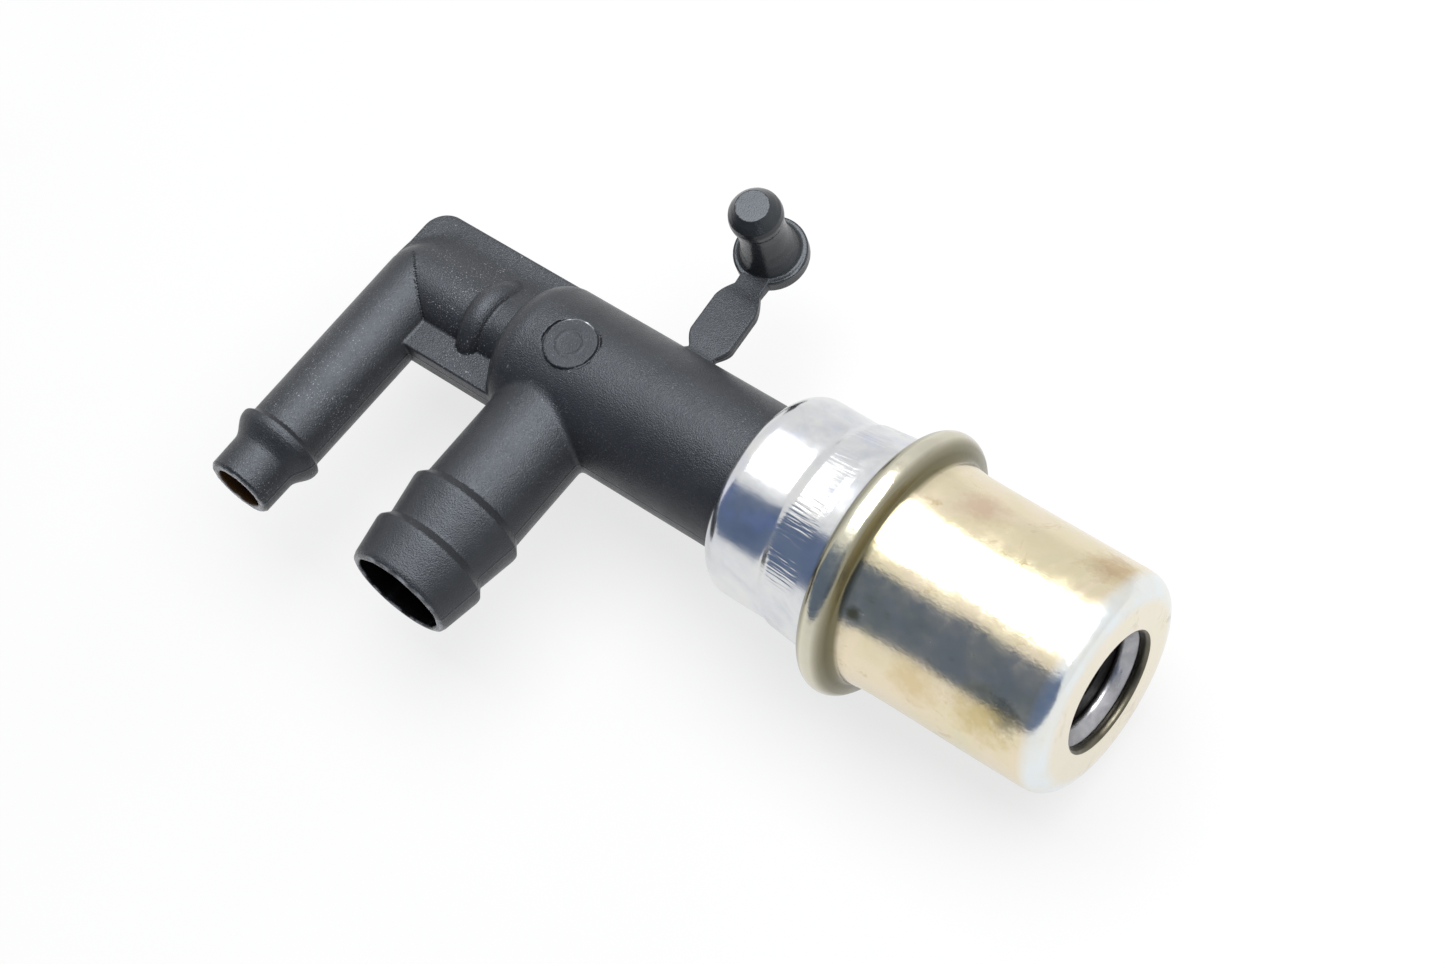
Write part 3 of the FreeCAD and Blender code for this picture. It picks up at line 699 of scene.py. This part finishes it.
def pale_floor():
    """Paper that gives light itself, so that it stays white and the shadow on it faint."""
    s = Shader("floor_paper", Specular_IOR_Level=0.1, Emission_Color=(1.0, 1.0, 1.0, 1.0),
               Emission_Strength=0.75)
    s.link(s.ramp(s.noise(30.0), (0.3, 0.083), (0.7, 0.088)), "Base Color")
    s.link(s.ramp(s.noise(50.0), (0.3, 0.85), (0.7, 0.95)), "Roughness")
    return s.material


def slate_card():
    """Dim blue-grey studio card: the unlit side of the room."""
    return Shader("slate_card", Base_Color=(0.0, 0.0, 0.0, 1.0), Specular_IOR_Level=0.0,
                  Emission_Color=(0.13, 0.178, 0.29, 1.0), Emission_Strength=1.0).material


NYLON = moulded_nylon("moulded_nylon", (0.0125, 0.0132, 0.0148), 0.34)
PLUG_NYLON = moulded_nylon("plug_nylon", (0.011, 0.012, 0.013), 0.24, speck=0.3, grain=0.4)
SILVER = silver_zinc()
YELLOW = yellow_zinc()
SEAT = plain_steel("seat_steel", (0.42, 0.42, 0.44), 0.34)
# Dark steel: the hole's sheared edge, and painted shade on the can's inner wall.
SHEARED_AND_SHADED = plain_steel("sheared_edge_and_shade", (0.13, 0.12, 0.09), 0.4)
# Painted shade: near-black steel for the pintle, so the inside of the can reads dark.
PINTLE_SHADE_STEEL = plain_steel("black_oxide", (0.012, 0.011, 0.009), 0.5)
RUBBER = rubber()


# ------------------------------------------------------------------ pieces
def make_body():
    step = 0.17
    body = modelled("body_moulding", body_distance, (-58.6, -25.9, -8.8), (-2.8, 8.8, 8.8),
                    step, NYLON)
    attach(body, "valve")
    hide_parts("valve_body", "elbow_arm", "large_nipple", "small_nipple")


def strap_outline(along):
    """Centre line and half width of the tether at a distance from its root hinge."""
    centre = ROOT_HINGE.x + 0.55 - 0.115 * along
    near_root = np.clip((1.5 - along) / 1.7, 0, 1) ** 1.6
    near_plug = np.clip((along - 5.3) / 2.1, 0, 1) ** 1.5
    return centre, 2.28 - 0.95 * near_root - 0.85 * near_plug


def strap_distance(x, y, z):
    """Drooping flat strap, thinner at both hinges and flared where it leaves the barrel."""
    edge, thinning, thin_length = 0.2, 0.14, 0.8
    along = y - ROOT_HINGE.y
    height = z + along * math.tan(STRAP_DROOP)
    centre, half_width = strap_outline(along)
    half_thick = 0.58
    for hinge in (0.0, PLUG_HINGE.y - ROOT_HINGE.y):
        half_thick = half_thick - thinning * np.exp(-((along - hinge) / thin_length) ** 2)
    beside = np.abs(x - centre) - half_width
    above = np.abs(height) - half_thick
    root_flare = 1.1 * np.clip((0.1 - along) / 0.9, 0, 1) ** 2
    return np.minimum(rounded_meet(beside, above, edge),
                      rounded_meet(beside - root_flare, above, edge))


def whole_strap(x, y, z):
    """The tether, starting inside the barrel's skin and ending inside the plug's disc."""
    start_y, end_in_disc = 6.5, 2.9
    to_plug = np.hypot(x - PLUG_BASE.x, y - PLUG_BASE.y)
    return np.maximum(strap_distance(x, y, z), np.maximum(start_y - y, end_in_disc - to_plug))


def make_strap():
    """One skin in two objects that share a line in the rigid middle."""
    step = 0.1
    points, quads = surface(whole_strap, (-32.5, 6.2, -1.8), (-24.4, 17.2, 1.3), step)
    normals = gradient(whole_strap, points)
    middle = ROOT_HINGE.y + 3.7
    outer = points[quads][:, :, 1].mean(axis=1) > middle
    halves = [("strap_inner", ~outer, ("valve", "strap"), ROOT_HINGE),
              ("strap_outer", outer, ("strap", "plug"), PLUG_HINGE)]
    for name, chosen, bodies, hinge in halves:
        used, renumbered = np.unique(quads[chosen], return_inverse=True)
        half = new_object(name, points[used], renumbered.reshape(-1, 4), NYLON, normals[used])
        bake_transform(half)
        if name == "strap_inner":
            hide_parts("tether_strap")


def plug_distance(x, y, z):
    """Plug about its own axis: disc, flared foot, waist, bulge and bevelled flat top."""
    side = PLUG_AXIS.cross(Vector((0, 1, 0))).normalized()
    other = PLUG_AXIS.cross(side)
    px, py, pz = x - PLUG_BASE.x, y - PLUG_BASE.y, z
    up = px * PLUG_AXIS.x + py * PLUG_AXIS.y + pz * PLUG_AXIS.z
    across = np.hypot(px * side.x + py * side.y + pz * side.z,
                      px * other.x + py * other.y + pz * other.z)
    disc = rounded_meet(across - PLUG_DISC_R, between(up, -0.96, 0.49), 0.22)
    stem = turned_solid(up, across, [
        (0.0, 0.0), (0.0, 2.8), (0.7, 2.72), (1.6, 2.42), (2.9, 2.18), (5.0, 2.06),
        (6.0, 2.1), (6.7, 2.36), (7.2, 2.4), (7.8, 2.3), (8.35, 1.95), (8.8, 1.6), (8.93, 1.5),
        (8.93, 0.0)], 0.06)
    return join(disc, stem, 0.3)


def make_plug():
    step = 0.12
    plug = modelled("plug_moulding", plug_distance, (-33.4, 14.9, -1.8), (-25.0, 23.4, 9.4),
                    step, PLUG_NYLON)
    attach(plug, "plug")
    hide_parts("sealing_plug")


def make_sleeve():
    """Rolled rear shoulder, plain band, a small step, then a flare under the can's hem."""
    rear, shoulder, lip, inner_r = SLEEVE_REAR, 2.05, 0.35, 8.58
    step_start, step_length, step_rise = -8.6, 1.3, 0.3
    flare_start, flare_r = step_start + step_length, SLEEVE_R + step_rise
    outline = [(rear + 0.85, 7.08)]
    outline += arc(rear + lip, 7.42, lip, 250, 180, 5)
    outline += arc(rear + shoulder, SLEEVE_R - shoulder, shoulder, 176, 90, 16)
    outline += [(x, SLEEVE_R) for x in np.linspace(rear + 2.6, step_start - 0.3, 10)]
    outline += [(step_start + step_length * t, SLEEVE_R + step_rise * eased(t))
                for t in np.linspace(0.1, 1.0, 10)]
    outline += [(flare_start + u, flare_r + 0.085 * u + 0.007 * u ** 2)
                for u in np.linspace(0.2, 5.3, 18)]
    # Hidden: the lip that the hem grips, then back along the inner wall.
    outline += [(-1.7, 10.35), (-1.7, 11.1), (-1.0, 11.1), (-1.0, 9.6), (-7.4, 8.8),
                (-8.2, inner_r), (rear + 2.0, inner_r), (rear + 0.85, 7.9)]

    def uneven(x, r, theta):
        return 0.012 * np.sin(2 * theta + 0.4 * x) + 0.008 * np.sin(7 * theta - 0.9 * x)

    sleeve = turned_mesh("sleeve_shell", outline, SILVER, 320, uneven)
    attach(sleeve, "valve")
    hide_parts("crimp_sleeve")


def make_can():
    """Deep-drawn can: folded hem, root fillet, straight wall, rounded nose, pierced hole."""
    hem, nose, hole_edge, inner_r = FLANGE_THICK / 2, 2.0, 0.4, CAN_R - CAN_WALL
    outline = [(-1.8, 10.6)] + arc(-2.15, 10.75, 0.4, 300, 200, 6)
    outline += arc(-hem, FLANGE_R - hem, hem, 178, 30, 28)
    outline += arc(0.75, 11.0, 0.75, 205, 262, 8)
    outline += [(1.0 + 1.6 * t, CAN_R + 0.04 + 0.17 * (1 - t) ** 2)
                for t in np.linspace(0.0, 1.0, 8)]
    outline += [(x, CAN_R + 0.03 - 0.04 * x / 18) for x in np.linspace(3.2, 17.8, 26)]
    outline += arc(CAN_END - nose, CAN_R - 0.03 - nose, nose, 88, 2, 18)
    outline += [(CAN_END, r) for r in (7.6, 6.9, 6.3)]
    outline += arc(CAN_END - hole_edge, HOLE_R + hole_edge, hole_edge, 0, -90, 7)
    outline += [(CAN_END - CAN_WALL, HOLE_R), (CAN_END - CAN_WALL, 7.9)]
    outline += arc(CAN_END - nose, CAN_R - nose, nose - CAN_WALL, 0, 90, 8)
    outline += [(8.0, inner_r), (-0.9, inner_r), (-0.9, 11.35), (-1.8, 11.35)]

    def uneven(x, r, theta):
        dent = 0.02 * np.sin(3 * theta + 0.25 * x) + 0.01 * np.sin(8 * theta - 0.6 * x)
        return dent * (x > 0.0) * (x < CAN_END - 1.0)

    can = turned_mesh("can_shell", outline, YELLOW, 384, uneven)
    can.data.materials.append(SHEARED_AND_SHADED)
    for face in can.data.polygons:
        middle = face.center / MM
        radius = math.hypot(middle.y, middle.z)
        in_hole = radius < HOLE_R + 0.25
        # The hole's edge is sheared steel; the inner wall gets the same dark steel as painted
        # shade.
        shaded_inner_wall = radius < inner_r - 0.06 and middle.x < CAN_END - 0.5
        if in_hole or shaded_inner_wall:
            face.material_index = 1
    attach(can, "valve")
    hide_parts("inlet_can")


def make_seat_ring():
    """Bright coned ring just inside the hole."""
    rear, front, throat_r = 17.85, 19.25, 4.45
    outline = [(rear, throat_r), (rear, 8.9), (18.3, 8.9), (front, 8.0), (front, 5.5)]
    outline += [(19.2 - 0.9 * t, 5.46 - 0.98 * t ** 0.8) for t in np.linspace(0.05, 1.0, 9)]
    outline += [(18.1, throat_r)]
    ring = turned_mesh("seat_ring_shell", outline, SEAT, 192)
    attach(ring, "valve")
    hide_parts("inlet_seat_ring")


def make_spring():
    """The return spring, a copy of its part's mesh; the real one shortens towards its rear end as
    the pintle comes back on it.
    """
    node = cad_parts["return_spring"]
    spring = bpy.data.objects.new("spring_coil", node.data.copy())
    bpy.context.scene.collection.objects.link(spring)
    spring.data.materials.clear()
    spring.data.materials.append(SEAT)
    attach(spring, "valve")
    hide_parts("return_spring")
    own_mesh(spring)


def finish_inner_nodes():
    # The pintle's near-black steel is painted shade.
    finishes = {"body_gasket": RUBBER, "metering_plate": SILVER, "metering_pintle": PINTLE_SHADE_STEEL}
    for node, material in finishes.items():
        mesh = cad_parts[node].data
        mesh.materials.clear()
        mesh.materials.append(material)


# ------------------------------------------------------------------ stage
def make_floor_and_card():
    """Floor under the flange, and a card that stands on it behind the camera."""
    low, high = -FLANGE_R - 0.02, 1000.0
    reach, card_y, card_half = 2500.0, -600.0, 1500.0
    one_face = [(0, 1, 2, 3)]
    floor = new_object("floor", [(-reach, -reach, low), (reach, -reach, low),
                                 (reach, reach, low), (-reach, reach, low)],
                       one_face, pale_floor())
    card = new_object("slate_card", [(-card_half, card_y, low), (card_half, card_y, low),
                                     (card_half, card_y, high), (-card_half, card_y, high)],
                      one_face, slate_card())


def make_lights():
    """Even white room, and one softbox overhead on the can's side."""
    world = bpy.data.worlds.new("studio")
    bpy.context.scene.world = world
    world.use_nodes = True
    room = world.node_tree.nodes["Background"].inputs
    room["Color"].default_value = (1.0, 1.0, 1.0, 1.0)
    room["Strength"].default_value = 0.92
    radiance = 8.5
    light = bpy.data.lights.new("key_above", "AREA")
    light.shape = "RECTANGLE"
    light.size, light.size_y = 710.0 * MM, 340.0 * MM
    light.energy = radiance * math.pi * light.size * light.size_y
    lamp = bpy.data.objects.new("key_above", light)
    lamp.location = Vector((105.0, 96.0, 400.0)) * MM
    bpy.context.scene.collection.objects.link(lamp)


def make_camera():
    """The photographer's place: high, on the nipples' side and towards the can."""
    place = Vector((90.97, -81.05, 212.66)) * MM
    right = Vector((0.7734, 0.6110, -0.1689)).normalized()
    away = Vector((-0.4337, 0.3156, -0.8440)).normalized()
    up = right.cross(away).normalized()
    right = away.cross(up)
    camera = bpy.data.objects.new("camera", bpy.data.cameras.new("camera"))
    turn = Matrix((right, up, -away)).transposed()
    camera.matrix_world = Matrix.Translation(place) @ turn.to_4x4()
    camera.data.sensor_width = 36.0
    camera.data.lens = 74.31
    camera.data.clip_start = 0.01
    camera.data.clip_end = 10.0
    bpy.context.scene.collection.objects.link(camera)
    bpy.context.scene.camera = camera
    bpy.context.scene.view_settings.view_transform = "Standard"


make_body()
make_strap()
make_plug()
make_sleeve()
make_can()
make_seat_ring()
make_spring()
finish_inner_nodes()
make_floor_and_card()
make_lights()
make_camera()

bpy.context.view_layer.update()
